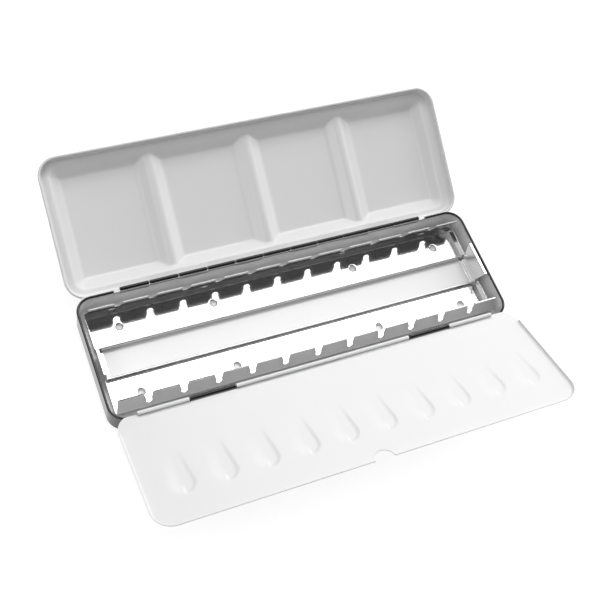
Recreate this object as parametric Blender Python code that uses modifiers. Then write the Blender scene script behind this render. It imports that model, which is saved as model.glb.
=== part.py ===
"""Metal watercolour box: pressed base and lid, a folding mixing flap and a sprung pan tray.

Lengths are in metres. The origin is the centre of the base's underside, X runs along the box,
+Y points to the lid's hinge and +Z up. The lid and the flap are shown open, on their stops.
"""
import bpy
import bmesh
from math import acos, cos, pi, radians, sin
from mathutils import Matrix, Vector

# Sheet, wire and the gaps between pieces
SHEET = 0.0004
WIRE_RADIUS = 0.0004
WIRE_CLEARANCE = 0.00015
TURNING_GAP = 0.0003
KNIT = 0.00002
OVERRUN = 0.002
CUTTER_REACH = 0.006
WELD_DISTANCE = 0.000001

# Roundness of curved stretches, in steps
CORNER_STEPS = 6
FOOT_STEPS = 3
CURL_STEPS = 13
BEAD_STEPS = 11
BEAD_RESOLUTION = 4

# Base box
BASE_LENGTH = 0.1998
BASE_DEPTH = 0.0623
BASE_HEIGHT = 0.0126
BASE_CORNER_RADIUS = 0.008
BASE_FOOT_RADIUS = 0.0012
BEAD_RADIUS = 0.0006
BEAD_PROUD = 0.00005

# Rolled knuckles, shared by both hinges
KNUCKLE_RADIUS = WIRE_RADIUS + WIRE_CLEARANCE + SHEET
KNUCKLE_SIDE_GAP = 0.0003
KNUCKLE_LEAF = 0.0012
CURL_END_ANGLE = radians(-95)
CURL_MID_RADIUS = KNUCKLE_RADIUS - SHEET / 2
KNUCKLE_ROOM = KNUCKLE_RADIUS + TURNING_GAP

# Lid hinge on the rear wall
REAR_KNUCKLES = 11
REAR_HINGE_INSET = 0.02191
REAR_HINGE_HALF = BASE_LENGTH / 2 - REAR_HINGE_INSET
REAR_KNUCKLE_PITCH = 2 * REAR_HINGE_HALF / REAR_KNUCKLES
REAR_AXIS_DROP = 0.0014
REAR_RIM_NOTCH = 0.003
LID_JOG = 0.0016
LID_OPEN_ANGLE = radians(27.5)
REAR_AXIS_Y = BASE_DEPTH / 2 - SHEET + KNUCKLE_RADIUS
REAR_AXIS_Z = BASE_HEIGHT - REAR_AXIS_DROP

# Lid, in its own frame: the hinge axis is its X axis, +Y its far edge, +Z its open side
LID_FIT = 0.0003
LID_OVERREACH = 0.0028
LID_REACH = BASE_DEPTH + LID_OVERREACH
LID_BEAD_RADIUS = 0.0006
LID_SHELF_DEPTH = 0.0044
LID_WELL_DEPTH = 0.0090
LID_SHELF_END_WIDTH = 0.0043
LID_SHELF_SIDE_WIDTH = 0.0033
LID_SLOPE_WIDTH = 0.0048
LID_MOUTH_RADIUS = 0.0045
LID_FLOOR_RADIUS = 0.0018
LID_CREASE_RADIUS = 0.0009
LID_WELLS = 4
RIDGE_PITCH = 0.049
RIDGE_FOOT_WIDTH = 0.013
RIDGE_CREST_WIDTH = 0.0026
RIDGE_CREST_DEPTH = 0.0057
LID_INNER_LENGTH = BASE_LENGTH + 2 * LID_FIT
LID_INNER_RADIUS = BASE_CORNER_RADIUS + LID_FIT
LID_INNER_NEAR = SHEET / 2
LID_INNER_FAR = LID_REACH - 2 * LID_BEAD_RADIUS

# Flap hinge on the front wall, and the places where its knuckles start and end
FLAP_AXIS_RISE = 0.0012
FLAP_OPEN_ANGLE = radians(20.5)
MIDDLE_BARREL_HALF = 0.0435
BASE_KNUCKLE_END = 0.0650
FRONT_HINGE_INSET = 0.0114
OUTER_BARREL_END = BASE_LENGTH / 2 - FRONT_HINGE_INSET
FRONT_AXIS_Y = KNUCKLE_RADIUS - BASE_DEPTH / 2
FRONT_AXIS_Z = BASE_HEIGHT + FLAP_AXIS_RISE

# Mixing flap, in its own frame: the hinge axis is its X axis, -Y its far edge, +Z its upper side
FLAP_END_ROOM = 0.0007
FLAP_SHORTFALL = 0.0011
FLAP_LENGTH = BASE_LENGTH - 2 * FLAP_END_ROOM
FLAP_REACH = BASE_DEPTH - FLAP_SHORTFALL
FLAP_CORNER_RADIUS = 0.0078
FLANGE_WIDTH = 0.0012
FLANGE_RISE = 0.0013
FLANGE_START = 0.0085
THUMB_NOTCH_RADIUS = 0.0048
THUMB_NOTCH_DEPTH = 0.005
THUMB_NOTCH_STEPS = 12
SCOOPS = 10
SCOOP_PITCH = 0.0184
SCOOP_WIDTH = 0.012
SCOOP_NEAR = 0.0265
SCOOP_FAR = 0.0475
SCOOP_DEPTH = 0.0014
SCOOP_LEAST_DEPTH = 0.00015
SCOOP_SLOPE = 0.0016
SCOOP_STEPS = 8
SCOOP_NEAR_STEPS = 2
SCOOP_NEAR_RADIUS = 0.003

# Pan tray
TRAY_SET_BACK = 0.001
TRAY_SET_RIGHT = 0.0005
TRAY_END_ROOM = 0.0035
TRAY_HALF_LENGTH = BASE_LENGTH / 2 - TRAY_END_ROOM
TRAY_STAND = 0.0012
TRAY_END_HEIGHT = 0.0035
HEM_CHANNEL_HALF = 0.0073
HEM_WIDTH = 0.0014
HEM_HEIGHT = 0.0018
HEM_LEG_GAP = 0.0003
HEM_STEPS = 4
TROUGH_FOOT_HALF = 0.0243
TROUGH_CREASE_HALF = 0.0260
TROUGH_CREASE_HEIGHT = 0.0037
TAB_TOP_HALF = 0.0230
TAB_TOP_HEIGHT = 0.0110
TROUGH_FOOT_STEPS = 3
SLOTS = 11
SLOT_PITCH = 0.0163
SLOT_TOP_WIDTH = 0.0037
SLOT_NECK_WIDTH = 0.0018
SLOT_BULB_RADIUS = 0.0013
SLOT_BULB_RISE = 0.0036
SLOT_BULB_STEPS = 8
END_TAB_SLANT = 0.0014
LUG_HALF_WIDTH = 0.0092
LUG_FOOT_HEIGHT = 0.0046
LUG_ROOT = 0.0015
LUG_LEAN = 0.0012
LUG_TOP_HALF = TRAY_HALF_LENGTH + LUG_LEAN
LUG_TOP_HEIGHT = 0.0124
HOLE_INNER = 0.0367
HOLE_OUTER = 0.0825
HOLE_ROW = 0.01705
HOLE_RADIUS = 0.0015
HOLE_DIMPLE_RADIUS = 0.0021
HOLE_STEPS = 16
TROUGH_TOP_Z = SHEET + TRAY_STAND
TROUGH_MID_Z = TROUGH_TOP_Z - SHEET / 2

# Colours, roughness and metallic value of each finish
BLACK_LACQUER = ("black_lacquer", (0.02, 0.02, 0.022, 1.0), 0.15, 0.0)
WHITE_LACQUER = ("white_lacquer", (0.85, 0.85, 0.85, 1.0), 0.25, 0.0)
TIN_PLATE = ("tin_plate", (0.78, 0.78, 0.78, 1.0), 0.15, 1.0)
STEEL_WIRE = ("steel_wire", (0.55, 0.55, 0.56, 1.0), 0.3, 1.0)

# A prism's outline is drawn in Y and Z, and its length runs along X
ALONG_X = Matrix(((0, 0, 1, 0), (1, 0, 0, 0), (0, 1, 0, 0), (0, 0, 0, 1)))
# The same for an outline in X and Z with its length along Y
ALONG_Y = Matrix(((1, 0, 0, 0), (0, 0, -1, 0), (0, 1, 0, 0), (0, 0, 0, 1)))


def clear_scene():
    """Empty the scene, so that the script can be run again."""
    for thing in list(bpy.data.objects):
        bpy.data.objects.remove(thing)


def make_collection(name):
    group = bpy.data.collections.new(name)
    bpy.context.scene.collection.children.link(group)
    return group


def make_material(finish):
    name, colour, roughness, metallic = finish
    material = bpy.data.materials.new(name)
    material.use_nodes = True
    shader = material.node_tree.nodes["Principled BSDF"]
    shader.inputs["Base Color"].default_value = colour
    shader.inputs["Roughness"].default_value = roughness
    shader.inputs["Metallic"].default_value = metallic
    material.diffuse_color = colour
    return material


def place(name, mesh, group, origin=(0, 0, 0), tilt=0):
    """Link a mesh as an object whose own frame sits at origin, tilted about X."""
    thing = bpy.data.objects.new(name, mesh)
    thing.location = origin
    thing.rotation_euler = (tilt, 0, 0)
    group.objects.link(thing)
    return thing


def evaluated_mesh(thing):
    bpy.context.view_layer.update()
    shown = thing.evaluated_get(bpy.context.evaluated_depsgraph_get())
    return bpy.data.meshes.new_from_object(shown)


def weld(mesh):
    """Join loose caps to their walls and turn every face outwards."""
    bm = bmesh.new()
    bm.from_mesh(mesh)
    bmesh.ops.remove_doubles(bm, verts=bm.verts, dist=WELD_DISTANCE)
    bmesh.ops.recalc_face_normals(bm, faces=bm.faces)
    bm.to_mesh(mesh)
    bm.free()
    return mesh


def curve_mesh(name, points, closed, **settings):
    """A POLY curve with these settings, made into a closed mesh."""
    curve = bpy.data.curves.new(name, "CURVE")
    for key, value in settings.items():
        setattr(curve, key, value)
    spline = curve.splines.new("POLY")
    spline.points.add(len(points) - 1)
    for knot, point in zip(spline.points, points):
        knot.co = (*point, 1)
    spline.use_cyclic_u = closed
    guide = bpy.data.objects.new(name, curve)
    bpy.context.scene.collection.objects.link(guide)
    mesh = evaluated_mesh(guide)
    bpy.data.objects.remove(guide)
    return weld(mesh)


def prism(outline, low, high, turn=ALONG_X):
    """A flat outline, filled and pulled from low to high."""
    points = [(u, v, 0) for u, v in outline]
    mesh = curve_mesh("prism", points, True, dimensions="2D", fill_mode="BOTH",
                      extrude=(high - low) / 2)
    mesh.transform(Matrix.Translation((0, 0, (low + high) / 2)))
    mesh.transform(turn)
    return mesh


def rod(points, radius, resolution, closed=False):
    """A round wire or bead along points."""
    return curve_mesh("rod", points, closed, dimensions="3D", bevel_depth=radius,
                      bevel_resolution=resolution, use_fill_caps=True)


def block(low, high):
    """A box between two corners."""
    mesh = bpy.data.meshes.new("block")
    bm = bmesh.new()
    bmesh.ops.create_cube(bm, size=1)
    size = Vector(high) - Vector(low)
    middle = (Vector(high) + Vector(low)) / 2
    bmesh.ops.scale(bm, vec=size, verts=bm.verts)
    bmesh.ops.translate(bm, vec=middle, verts=bm.verts)
    bm.to_mesh(mesh)
    bm.free()
    return mesh


def gather(meshes):
    """Several meshes as one mesh of separate islands, for one Boolean."""
    joined = bpy.data.meshes.new("gathered")
    bm = bmesh.new()
    for mesh in meshes:
        bm.from_mesh(mesh)
    bm.to_mesh(joined)
    bm.free()
    return joined


def combine(thing, name, mesh, operation, tools):
    """Join mesh to thing, or cut it out; mesh is drawn in thing's own frame."""
    tool = place(name, mesh, tools, thing.location, thing.rotation_euler.x)
    tool.hide_render = True
    tool.display_type = "WIRE"
    step = thing.modifiers.new(name, "BOOLEAN")
    step.operation = operation
    step.object = tool
    return step


def thicken(thing, offset):
    """Give an open surface its sheet thickness; offset 1 is outwards and -1 inwards."""
    step = thing.modifiers.new("sheet", "SOLIDIFY")
    step.thickness = SHEET
    step.offset = offset
    step.use_even_offset = True
    return step


def arc(centre, radius, start, end, steps):
    """Points on an arc in a plane, both ends included."""
    turn = (end - start) / steps
    return [(centre[0] + radius * cos(start + turn * i), centre[1] + radius * sin(start + turn * i))
            for i in range(steps + 1)]


def rounded_ring(half_length, y_low, y_high, radius, z):
    """A rectangle with round corners, counterclockwise seen from above."""
    x, low, high = half_length - radius, y_low + radius, y_high - radius
    corners = (((x, low), -pi / 2), ((x, high), 0), ((-x, high), pi / 2), ((-x, low), pi))
    return [Vector((px, py, z)) for centre, start in corners
            for px, py in arc(centre, radius, start, start + pi / 2, CORNER_STEPS)]


def loft(rings, close_top=False):
    """A skin over rings that start at the lowest one, which is closed, as the last may be."""
    mesh = bpy.data.meshes.new("loft")
    bm = bmesh.new()
    rows = [[bm.verts.new(point) for point in ring] for ring in rings]
    bm.faces.new(reversed(rows[0]))
    for lower, upper in zip(rows, rows[1:]):
        for i in range(len(lower)):
            j = (i + 1) % len(lower)
            bm.faces.new((lower[i], lower[j], upper[j], upper[i]))
    if close_top:
        bm.faces.new(rows[-1])
    bm.to_mesh(mesh)
    bm.free()
    return mesh


def sheet_outline(line, thickness):
    """The outline of a bent sheet whose middle follows line."""
    points = [Vector(p) for p in line]
    left, right = [], []
    for i, point in enumerate(points):
        before = (point - points[i - 1]).normalized() if i else None
        after = (points[i + 1] - point).normalized() if i + 1 < len(points) else None
        before = before or after
        after = after or before
        along = (before + after).normalized()
        side = Vector((-along.y, along.x)) * (thickness / 2 / along.dot(after))
        left.append(point + side)
        right.append(point - side)
    return [tuple(p) for p in left + right[::-1]]


def shade_round(thing, angle=radians(30)):
    """Smooth shading with sharp creases, on the finished form."""
    thing.data.shade_smooth()
    thing.data.set_sharp_from_angle(angle=angle)


def finish(thing, material):
    thing.data.materials.clear()
    thing.data.materials.append(material)
    shade_round(thing)
    return thing


# Rolled knuckles

def curl_line(leaf):
    """Middle of a curled sheet: the leaf's points, then round the wire clockwise."""
    return leaf + arc((0, 0), CURL_MID_RADIUS, pi, CURL_END_ANGLE, CURL_STEPS)


def straight_curl():
    """A wall that runs straight up into its knuckle, tangent to it."""
    return sheet_outline(curl_line([(-CURL_MID_RADIUS, -KNUCKLE_ROOM - KNUCKLE_LEAF)]),
                         SHEET - 2 * KNIT)


def jogged_curl():
    """A wall under the middle of its knuckle, stepped aside before it curls."""
    leaf = [(0, -LID_JOG - KNUCKLE_LEAF), (0, -LID_JOG)]
    return sheet_outline(curl_line(leaf), SHEET - 2 * KNIT)


def knuckle_spans(first):
    """X from start to end of every second rear knuckle, from the one numbered first."""
    spans = []
    for i in range(first, REAR_KNUCKLES, 2):
        start = i * REAR_KNUCKLE_PITCH - REAR_HINGE_HALF
        spans.append((start + KNUCKLE_SIDE_GAP / 2, start + REAR_KNUCKLE_PITCH - KNUCKLE_SIDE_GAP / 2))
    return spans


def both_sides(start, end):
    """The same span to the right and to the left of the middle."""
    return [(start, end), (-end, -start)]


def prisms(outline, spans):
    return gather([prism(outline, low, high) for low, high in spans])


# Base box

def base_profile():
    """Inset and height of the pressed sheet: up the outside, over the bead, down the inside."""
    foot = (BASE_FOOT_RADIUS, BASE_FOOT_RADIUS)
    bead = (BEAD_RADIUS - BEAD_PROUD, BASE_HEIGHT - BEAD_RADIUS)
    leave_outside = 2 * pi - acos(-bead[0] / BEAD_RADIUS)
    meet_inside = -acos((SHEET - bead[0]) / BEAD_RADIUS)
    profile = arc(foot, BASE_FOOT_RADIUS, pi * 1.5, pi, FOOT_STEPS)
    profile += arc(bead, BEAD_RADIUS, leave_outside, meet_inside, BEAD_STEPS)
    profile += arc(foot, BASE_FOOT_RADIUS - SHEET, pi, pi * 1.5, FOOT_STEPS)
    return profile


def base_ring(inset, z):
    half = BASE_DEPTH / 2 - inset
    return rounded_ring(BASE_LENGTH / 2 - inset, -half, half, BASE_CORNER_RADIUS - inset, z)


def build_base(parts, tools, material):
    """The pressed box: beaded rim, rear and front knuckles curled from its own walls."""
    shell = loft([base_ring(inset, z) for inset, z in base_profile()], True)
    base = finish(place("base_shell", shell, parts), material)
    notch_half = REAR_HINGE_HALF + REAR_RIM_NOTCH
    notch = block((-notch_half, REAR_AXIS_Y - KNUCKLE_ROOM - 2 * BEAD_RADIUS,
                   REAR_AXIS_Z - KNUCKLE_ROOM),
                  (notch_half, REAR_AXIS_Y + OVERRUN, BASE_HEIGHT + OVERRUN))
    combine(base, "rear_rim_notch", notch, "DIFFERENCE", tools)
    rear = prisms(straight_curl(), knuckle_spans(0))
    rear.transform(Matrix.Translation((0, REAR_AXIS_Y, REAR_AXIS_Z)))
    combine(base, "rear_base_knuckles", rear, "UNION", tools)
    span = both_sides(MIDDLE_BARREL_HALF + KNUCKLE_SIDE_GAP / 2, BASE_KNUCKLE_END - KNUCKLE_SIDE_GAP / 2)
    front = prisms(straight_curl(), span)
    front.transform(Matrix.Translation((0, FRONT_AXIS_Y, FRONT_AXIS_Z)))
    combine(base, "front_base_knuckles", front, "UNION", tools)
    return base


# Lid

def lid_ring(inset_x, inset_y, radius, depth):
    return rounded_ring(LID_INNER_LENGTH / 2 - inset_x, LID_INNER_NEAR + inset_y,
                        LID_INNER_FAR - inset_y, radius, -depth)


def lid_hollow():
    """The space inside the lid as one loft: sunk floor, slopes, shelf and side walls."""
    shelf_x, shelf_y = LID_SHELF_END_WIDTH, LID_SHELF_SIDE_WIDTH
    floor = lid_ring(shelf_x + LID_SLOPE_WIDTH, shelf_y + LID_SLOPE_WIDTH,
                     LID_FLOOR_RADIUS, LID_WELL_DEPTH)
    mouth = lid_ring(shelf_x, shelf_y, LID_MOUTH_RADIUS, LID_SHELF_DEPTH)
    shelf = lid_ring(0, 0, LID_INNER_RADIUS, LID_SHELF_DEPTH)
    rim = lid_ring(0, 0, LID_INNER_RADIUS, LID_BEAD_RADIUS)
    return loft([floor, mouth, shelf, rim], True)


def ridges():
    """The bars between the wells, to be left standing in the hollow."""
    run = (RIDGE_FOOT_WIDTH - RIDGE_CREST_WIDTH) / 2
    rise = LID_WELL_DEPTH - RIDGE_CREST_DEPTH
    foot = RIDGE_FOOT_WIDTH / 2 + OVERRUN * run / rise
    crest = RIDGE_CREST_WIDTH / 2
    bars = []
    for i in range(LID_WELLS - 1):
        x = (i - (LID_WELLS - 2) / 2) * RIDGE_PITCH
        bottom = -LID_WELL_DEPTH - OVERRUN
        outline = [(x - foot, bottom), (x + foot, bottom),
                   (x + crest, -RIDGE_CREST_DEPTH), (x - crest, -RIDGE_CREST_DEPTH)]
        bars.append(prism(outline, -LID_INNER_FAR - OVERRUN, OVERRUN, ALONG_Y))
    return gather(bars)


def lid_skin(tools):
    """The inner face of the lid, open at its rim, with every crease rounded."""
    hollow = place("lid_hollow", lid_hollow(), tools)
    combine(hollow, "lid_ridges", ridges(), "DIFFERENCE", tools)
    mesh = weld(evaluated_mesh(hollow))
    bpy.data.objects.remove(hollow)
    bm = bmesh.new()
    bm.from_mesh(mesh)
    top = [face for face in bm.faces if face.calc_center_median().z > -LID_BEAD_RADIUS - KNIT
           and face.normal.z > cos(radians(30))]
    bmesh.ops.delete(bm, geom=top, context="FACES")
    bm.to_mesh(mesh)
    bm.free()
    return mesh


def build_lid(parts, tools, material):
    """The pressed lid: beaded rim, sunk wells with ridges, knuckles on its near wall."""
    origin = (0, REAR_AXIS_Y, REAR_AXIS_Z)
    lid = finish(place("lid_shell", lid_skin(tools), parts, origin, LID_OPEN_ANGLE), material)
    crease = lid.modifiers.new("creases", "BEVEL")
    crease.width = LID_CREASE_RADIUS
    crease.segments = 2
    crease.limit_method = "ANGLE"
    crease.angle_limit = radians(25)
    thicken(lid, 1)
    outset = LID_BEAD_RADIUS - BEAD_PROUD
    path = lid_ring(-outset, -outset, LID_INNER_RADIUS + outset, LID_BEAD_RADIUS)
    combine(lid, "lid_bead", rod(path, LID_BEAD_RADIUS, BEAD_RESOLUTION, True), "UNION", tools)
    trim_half = LID_INNER_LENGTH / 2 + OVERRUN
    trim = block((-trim_half, -OVERRUN, -2 * LID_BEAD_RADIUS - OVERRUN),
                 (trim_half, -SHEET / 2, OVERRUN))
    combine(lid, "near_bead_trim", trim, "DIFFERENCE", tools)
    slot_half = REAR_HINGE_HALF + TURNING_GAP
    slot = block((-slot_half, -OVERRUN, -KNUCKLE_ROOM), (slot_half, OVERRUN, OVERRUN))
    combine(lid, "knuckle_slot", slot, "DIFFERENCE", tools)
    combine(lid, "lid_knuckles", prisms(jogged_curl(), knuckle_spans(1)), "UNION", tools)
    return lid


# Mixing flap

def flap_ring(outset, z):
    """The flap's outline, outset from its flat plate; the near side lies on the axis."""
    near = outset
    far = FLANGE_WIDTH - FLAP_REACH - outset
    half = FLAP_LENGTH / 2 - FLANGE_WIDTH + outset
    return rounded_ring(half, far, near, FLAP_CORNER_RADIUS + outset, z)


def scoop_outline(x, grow, depth_at):
    """A tongue shape, round at its far end, whose points sink by depth_at."""
    half = SCOOP_WIDTH / 2 + grow
    far_centre = -SCOOP_FAR + SCOOP_WIDTH / 2
    near_radius = SCOOP_NEAR_RADIUS + grow
    near_y = -SCOOP_NEAR + grow - near_radius
    points = arc((x, far_centre), half, -pi, 0, SCOOP_STEPS)
    points += arc((x + half - near_radius, near_y), near_radius, 0, pi / 2, SCOOP_NEAR_STEPS)
    points += arc((x - half + near_radius, near_y), near_radius, pi / 2, pi, SCOOP_NEAR_STEPS)
    return [Vector((px, py, depth_at(py))) for px, py in points]


def scoop(x, grow, top):
    """One mixing scoop: a tongue that sinks towards the far edge; grow makes its outside."""
    plate_top = SHEET - KNUCKLE_RADIUS

    def floor(y):
        share = (-y - SCOOP_NEAR) / (SCOOP_FAR - SCOOP_NEAR)
        sink = SCOOP_LEAST_DEPTH + (SCOOP_DEPTH - SCOOP_LEAST_DEPTH) * min(1, max(0, share))
        return plate_top - sink - grow

    rings = [scoop_outline(x, grow - SCOOP_SLOPE, floor),
             scoop_outline(x, grow, lambda y: plate_top - grow),
             scoop_outline(x, grow, lambda y: top)]
    return loft(rings, True)


def scoops(grow, top):
    places = [(i - (SCOOPS - 1) / 2) * SCOOP_PITCH for i in range(SCOOPS)]
    return gather([scoop(x, grow, top) for x in places])


def flap_curl():
    """The straight curl lying down: its leaf is the flap's plate."""
    return [(v, u) for u, v in straight_curl()]


def build_flap(parts, tools, material):
    """The mixing flap: flanged plate, three barrels, ten scoops and a thumb notch."""
    origin = (0, FRONT_AXIS_Y, FRONT_AXIS_Z)
    plate_low, plate_top = -KNUCKLE_RADIUS, SHEET - KNUCKLE_RADIUS
    skin = loft([flap_ring(0, plate_low), flap_ring(FLANGE_WIDTH, plate_low + FLANGE_RISE)])
    flap = finish(place("mixing_flap", skin, parts, origin, -FLAP_OPEN_ANGLE), material)
    thicken(flap, -1)
    half = FLAP_LENGTH / 2 + OVERRUN
    past = CUTTER_REACH
    combine(flap, "near_edge", block((-half, 0, -past), (half, past, past)), "DIFFERENCE", tools)
    combine(flap, "flange_ends", block((-half, -FLANGE_START, plate_top + KNIT),
                                       (half, past, past)), "DIFFERENCE", tools)
    relief = [block((low, -KNUCKLE_ROOM, -OVERRUN), (high, OVERRUN, OVERRUN))
              for low, high in both_sides(MIDDLE_BARREL_HALF - KNUCKLE_SIDE_GAP / 2,
                                          BASE_KNUCKLE_END + KNUCKLE_SIDE_GAP / 2)]
    combine(flap, "knuckle_reliefs", gather(relief), "DIFFERENCE", tools)
    spans = both_sides(BASE_KNUCKLE_END + KNUCKLE_SIDE_GAP / 2, OUTER_BARREL_END)
    middle = MIDDLE_BARREL_HALF - KNUCKLE_SIDE_GAP / 2
    combine(flap, "flap_barrels", prisms(flap_curl(), spans + [(-middle, middle)]), "UNION", tools)
    combine(flap, "scoop_backs", scoops(SHEET, plate_low + SHEET / 2), "UNION", tools)
    combine(flap, "scoop_hollows", scoops(0, plate_top + OVERRUN), "DIFFERENCE", tools)
    round_end = arc((0, THUMB_NOTCH_DEPTH - THUMB_NOTCH_RADIUS - FLAP_REACH), THUMB_NOTCH_RADIUS,
                    0, pi, THUMB_NOTCH_STEPS)
    past_edge = -FLAP_REACH - OVERRUN
    outline = [(THUMB_NOTCH_RADIUS, past_edge)] + round_end + [(-THUMB_NOTCH_RADIUS, past_edge)]
    notch = prism(outline, -OVERRUN, OVERRUN, Matrix.Identity(4))
    combine(flap, "thumb_notch", notch, "DIFFERENCE", tools)
    return flap


# Pan tray

def trough_line():
    """Middle of the sheet across one trough, from the channel's hem out to the tab tops."""
    inner = HEM_CHANNEL_HALF + SHEET / 2
    outer = inner + HEM_WIDTH - SHEET
    top = TROUGH_TOP_Z + HEM_HEIGHT - SHEET / 2
    radius = (outer - inner) / 2
    foot_radius = TROUGH_CREASE_HALF - TROUGH_FOOT_HALF
    line = [(inner, SHEET + HEM_LEG_GAP)]
    line += arc(((inner + outer) / 2, top - radius), radius, pi, 0, HEM_STEPS)
    line += [(outer, TROUGH_MID_Z)]
    line += arc((TROUGH_FOOT_HALF, TROUGH_MID_Z + foot_radius), foot_radius,
                -pi / 2, 0, TROUGH_FOOT_STEPS)[:-1]
    line += [(TROUGH_CREASE_HALF, TROUGH_TOP_Z + TROUGH_CREASE_HEIGHT)]
    line += [(TAB_TOP_HALF, TROUGH_TOP_Z + TAB_TOP_HEIGHT)]
    return line


def keyhole():
    """A slot between two tabs, measured up the leaning wall from its crease."""
    half, neck = SLOT_TOP_WIDTH / 2, SLOT_NECK_WIDTH / 2
    reach = tab_slope().length
    spread = (half - neck) / (reach - SLOT_BULB_RISE - SLOT_BULB_RADIUS)
    opening = Vector((neck, (SLOT_BULB_RADIUS ** 2 - neck ** 2) ** 0.5))
    start = opening.angle_signed(Vector((1, 0)))
    bulb = arc((0, SLOT_BULB_RISE), SLOT_BULB_RADIUS, start, -pi - start, SLOT_BULB_STEPS)
    top = reach + OVERRUN
    return bulb + [(-half - spread * OVERRUN, top), (half + spread * OVERRUN, top)]


def tab_slope():
    """From the crease to the tab tops, as a vector in Y and Z."""
    return Vector((TAB_TOP_HALF - TROUGH_CREASE_HALF, TAB_TOP_HEIGHT - TROUGH_CREASE_HEIGHT))


def end_cut(side):
    """The corner taken off the last tab, so that its end slants."""
    reach = tab_slope().length
    past = TRAY_HALF_LENGTH + OVERRUN
    outline = [(TRAY_HALF_LENGTH, KNIT), (past, KNIT), (past, reach + OVERRUN),
               (TRAY_HALF_LENGTH - END_TAB_SLANT, reach + OVERRUN)]
    return [(side * x, y) for x, y in outline]


def row_cuts():
    """All cuts of the rear row of tabs, laid on its leaning wall."""
    slope = tab_slope().normalized()
    lean = Matrix(((1, 0, 0, 0),
                   (0, slope.x, -slope.y, TROUGH_CREASE_HALF),
                   (0, slope.y, slope.x, TROUGH_TOP_Z + TROUGH_CREASE_HEIGHT),
                   (0, 0, 0, 1)))
    cuts = []
    for i in range(SLOTS):
        x = (i - (SLOTS - 1) / 2) * SLOT_PITCH
        outline = [(x + px, py) for px, py in keyhole()]
        cuts.append(prism(outline, -OVERRUN, OVERRUN, lean))
    cuts += [prism(end_cut(side), -OVERRUN, OVERRUN, lean) for side in (-1, 1)]
    return gather(cuts)


def facing_front(mesh):
    """The same shape turned half round, to serve the front row."""
    copy = mesh.copy()
    copy.transform(Matrix.Rotation(pi, 4, "Z"))
    return copy


def lug_line():
    """Middle of the end lug's sheet, leaning out towards the end wall."""
    return [(TRAY_HALF_LENGTH, LUG_FOOT_HEIGHT - LUG_ROOT), (TRAY_HALF_LENGTH, LUG_FOOT_HEIGHT),
            (LUG_TOP_HALF, LUG_TOP_HEIGHT)]


def hole_cuts():
    """Dimpled holes in the trough floors, wider at the top."""
    mesh = bpy.data.meshes.new("holes")
    bm = bmesh.new()
    depth = SHEET + 2 * KNIT
    for x in (-HOLE_OUTER, -HOLE_INNER, HOLE_INNER, HOLE_OUTER):
        for y in (-HOLE_ROW, HOLE_ROW):
            bmesh.ops.create_cone(bm, cap_ends=True, segments=HOLE_STEPS, radius1=HOLE_RADIUS,
                                  radius2=HOLE_DIMPLE_RADIUS, depth=depth,
                                  matrix=Matrix.Translation((x, y, TROUGH_MID_Z)))
    bm.to_mesh(mesh)
    bm.free()
    return mesh


def build_tray(parts, tools, material):
    """The tin tray: two troughs whose leaning walls are slit into spring tabs."""
    section = sheet_outline(trough_line(), SHEET)
    trough = prism(section, -TRAY_HALF_LENGTH, TRAY_HALF_LENGTH)
    front = facing_front(trough)
    tray = finish(place("pan_tray", trough, parts, (TRAY_SET_RIGHT, TRAY_SET_BACK, 0)), material)
    combine(tray, "front_trough", front, "UNION", tools)
    ends = []
    for side in (-1, 1):
        middle = side * TRAY_HALF_LENGTH
        ends.append(block((middle - SHEET / 2, -TROUGH_FOOT_HALF, TROUGH_MID_Z - SHEET / 2 - KNIT),
                          (middle + SHEET / 2, TROUGH_FOOT_HALF, TROUGH_TOP_Z + TRAY_END_HEIGHT)))
    combine(tray, "end_walls", gather(ends), "UNION", tools)
    lug = prism(sheet_outline(lug_line(), SHEET - 2 * KNIT), -LUG_HALF_WIDTH, LUG_HALF_WIDTH, ALONG_Y)
    combine(tray, "end_lugs", gather([lug, facing_front(lug)]), "UNION", tools)
    rear_cuts = row_cuts()
    cuts = gather([rear_cuts, facing_front(rear_cuts)])
    combine(tray, "tab_slots", cuts, "DIFFERENCE", tools)
    combine(tray, "floor_holes", hole_cuts(), "DIFFERENCE", tools)
    return tray


# Hinge wires

def build_wire(name, half_length, y, z, parts, material):
    """A straight wire through one row of knuckles."""
    wire = rod([(-half_length, 0, 0), (half_length, 0, 0)], WIRE_RADIUS, 2)
    return finish(place(name, wire, parts, (0, y, z)), material)


def main():
    clear_scene()
    parts = make_collection("watercolour_box")
    tools = make_collection("cutters")
    black = make_material(BLACK_LACQUER)
    white = make_material(WHITE_LACQUER)
    tin = make_material(TIN_PLATE)
    steel = make_material(STEEL_WIRE)
    build_base(parts, tools, black)
    build_lid(parts, tools, white)
    build_flap(parts, tools, white)
    build_tray(parts, tools, tin)
    rear_half = REAR_HINGE_HALF - KNUCKLE_SIDE_GAP / 2
    build_wire("lid_hinge_wire", rear_half, REAR_AXIS_Y, REAR_AXIS_Z, parts, steel)
    build_wire("flap_hinge_wire", OUTER_BARREL_END, FRONT_AXIS_Y, FRONT_AXIS_Z, parts, steel)


main()
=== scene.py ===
"""Looks of the metal watercolour box: lacquered base, lid and flap, and a bright tin tray."""

from math import acos, atan2, cos, pi, radians, sin, sqrt, tan

import bmesh
import bpy
from bpy.props import FloatProperty, IntProperty, PointerProperty, StringProperty
from mathutils import Matrix, Vector


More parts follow.
